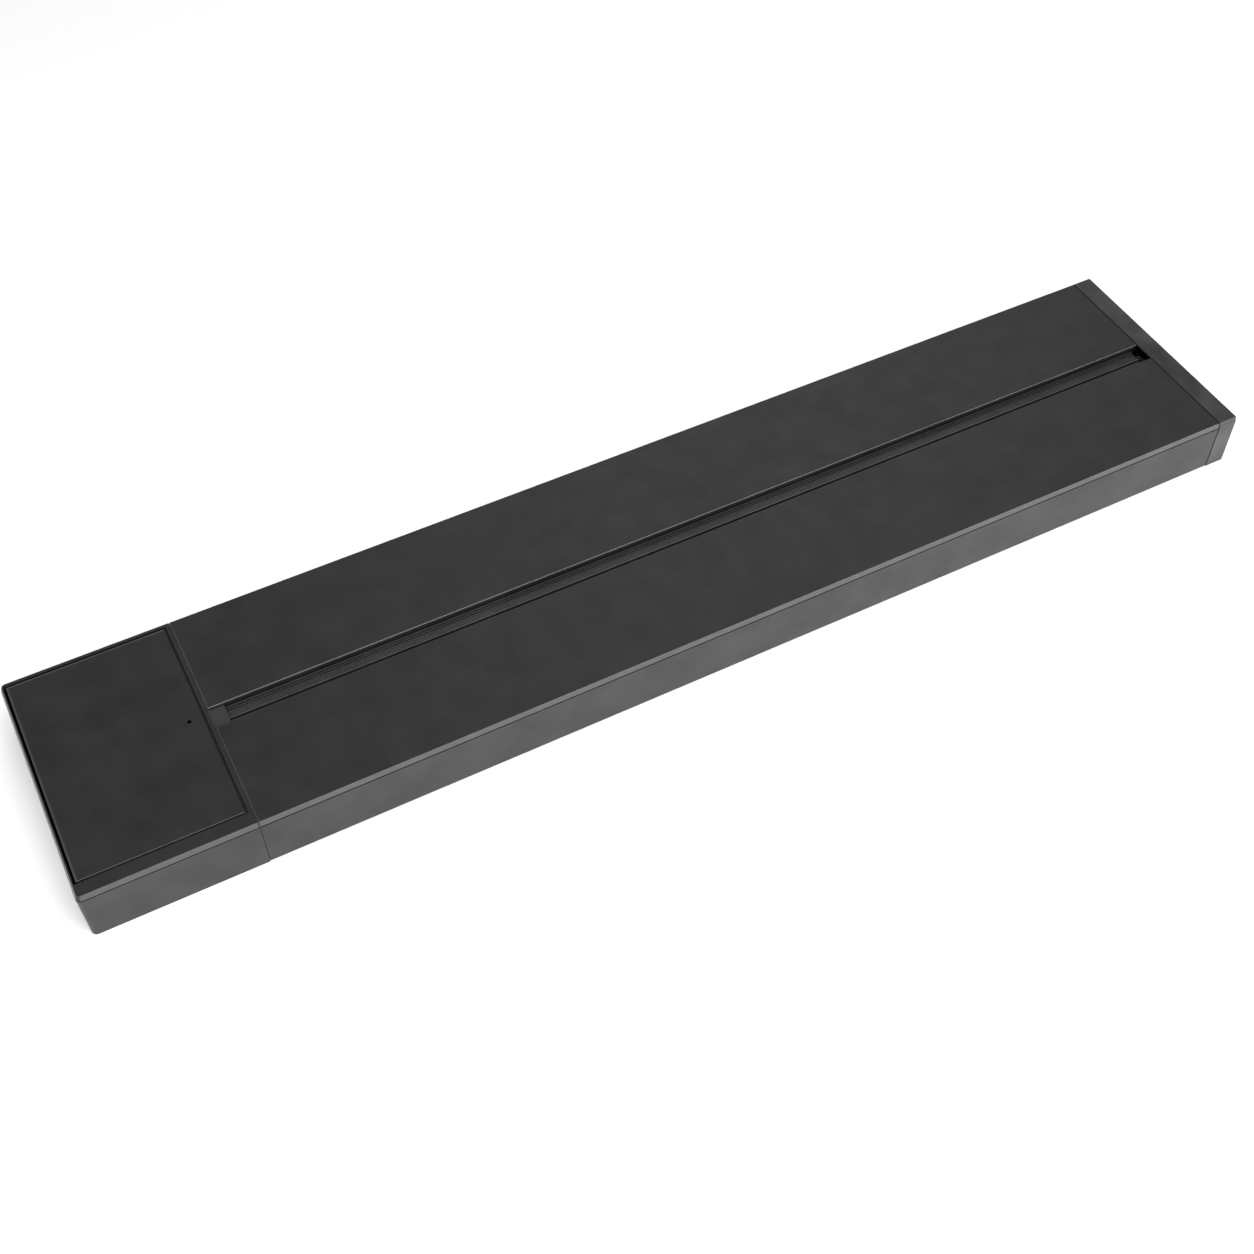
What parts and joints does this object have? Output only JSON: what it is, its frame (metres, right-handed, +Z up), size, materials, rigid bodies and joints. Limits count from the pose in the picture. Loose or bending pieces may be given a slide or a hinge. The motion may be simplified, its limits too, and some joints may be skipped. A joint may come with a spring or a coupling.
{
  "type": "electric fireplace",
  "caption": "Long, low water-vapour electric fireplace insert: black steel case with a ribbed flame slot along its top, a hinged service lid at one end and a closed end cap.",
  "frame": {"origin": "middle of the flat underside", "axes": "+X along the flame slot, from the service module towards the end cap; -Y towards the fascia side; +Z up"},
  "size_m": [1.2, 0.246, 0.06],
  "materials": {
    "black_steel": "satin powder coat",
    "black_grille": "satin",
    "bare_steel": "brushed",
    "dark_plastic": "fine texture",
    "tank_plastic": "milky, slightly see-through",
    "rubber": "matte",
    "board_green": "solder mask",
    "strip_white": "satin",
    "hose_clear": "translucent",
    "ceramic": "fired ceramic disc"
  },
  "bodies": {
    "chassis": {"blower_housing_1": "dark_plastic", "blower_housing_2": "dark_plastic", "blower_housing_3": "dark_plastic", "control_board": "board_green", "control_panel": "black_steel", "deck_rail_front": "bare_steel", "deck_rail_rear": "bare_steel", "driver_board": "board_green", "end_cap": "black_steel", "feed_hose": "hose_clear", "feed_pump": "dark_plastic", "float_stem": "dark_plastic", "front_deck_plate": "black_steel", "infrared_receiver": "dark_plastic", "led_strip_front": "strip_white", "led_strip_rear": "strip_white", "lid_gasket": "rubber", "lid_pin_front": "bare_steel", "lid_pin_rear": "bare_steel", "lid_seat_frame": "black_steel", "main_housing": "black_steel", "mains_inlet": "dark_plastic", "mist_disc_1": "ceramic", "mist_disc_2": "ceramic", "mist_disc_3": "ceramic", "mist_disc_4": "ceramic", "mist_disc_5": "ceramic", "mist_disc_6": "ceramic", "mist_module_1": "bare_steel", "mist_module_2": "bare_steel", "mist_module_3": "bare_steel", "mist_trough": "dark_plastic", "power_supply": "bare_steel", "rear_deck_plate": "black_steel", "service_deck": "black_steel", "service_housing": "black_steel", "slot_grille": "black_grille", "suction_hose": "hose_clear", "switch_frame": "dark_plastic", "trough_cover": "dark_plastic", "trough_end_left": "dark_plastic", "trough_end_right": "dark_plastic", "trough_screw_1": "bare_steel", "trough_screw_2": "bare_steel", "trough_screw_3": "bare_steel", "trough_screw_4": "bare_steel", "water_tank": "tank_plastic", "wiring_harness": "rubber"},
    "lid": {"lid": "black_steel"},
    "filler_cap": {"filler_cap": "dark_plastic", "cap_seal": "rubber"},
    "level_float": {"tank_float": "strip_white"},
    "rotor_1": {"blower_rotor_1": "dark_plastic"},
    "rotor_2": {"blower_rotor_2": "dark_plastic"},
    "rotor_3": {"blower_rotor_3": "dark_plastic"},
    "power_button": {"button_power": "dark_plastic"},
    "flame_button": {"button_flame": "dark_plastic"},
    "light_button": {"button_light": "dark_plastic"},
    "speed_button": {"button_speed": "dark_plastic"},
    "rocker": {"power_rocker": "dark_plastic"}
  },
  "joints": [
    {"name": "lid_hinge", "type": "hinge", "parent": "chassis", "child": "lid", "pos_m": [-0.5926, 0.005, 0.0562], "axis": [0, -1, 0], "range_deg": [0, 95]},
    {"name": "filler_cap_turn", "type": "hinge", "parent": "chassis", "child": "filler_cap", "pos_m": [-0.54, -0.065, 0.0448], "axis": [0, 0, 1], "range_deg": [0, 90]},
    {"name": "float_rise", "type": "slide", "parent": "chassis", "child": "level_float", "axis": [0, 0, 1], "range_m": [0, 0.018]},
    {"name": "rotor_1_spin", "type": "hinge", "parent": "chassis", "child": "rotor_1", "pos_m": [-0.3, 0.0905, 0.015], "axis": [0, 0, 1], "continuous": true},
    {"name": "rotor_2_spin", "type": "hinge", "parent": "chassis", "child": "rotor_2", "pos_m": [0.03, 0.0905, 0.015], "axis": [0, 0, 1], "continuous": true},
    {"name": "rotor_3_spin", "type": "hinge", "parent": "chassis", "child": "rotor_3", "pos_m": [0.36, 0.0905, 0.015], "axis": [0, 0, 1], "continuous": true},
    {"name": "power_button_press", "type": "slide", "parent": "chassis", "child": "power_button", "axis": [0, 0, -1], "range_m": [0, 0.001], "stiffness_N_per_m": 400, "springref_m": -0.0005},
    {"name": "flame_button_press", "type": "slide", "parent": "chassis", "child": "flame_button", "axis": [0, 0, -1], "range_m": [0, 0.001], "stiffness_N_per_m": 400, "springref_m": -0.0005},
    {"name": "light_button_press", "type": "slide", "parent": "chassis", "child": "light_button", "axis": [0, 0, -1], "range_m": [0, 0.001], "stiffness_N_per_m": 400, "springref_m": -0.0005},
    {"name": "speed_button_press", "type": "slide", "parent": "chassis", "child": "speed_button", "axis": [0, 0, -1], "range_m": [0, 0.001], "stiffness_N_per_m": 400, "springref_m": -0.0005},
    {"name": "rocker_tilt", "type": "hinge", "parent": "chassis", "child": "rocker", "pos_m": [-0.545, 0.119, 0.028], "axis": [0, 0, 1], "range_deg": [-16, 0]}
  ]
}
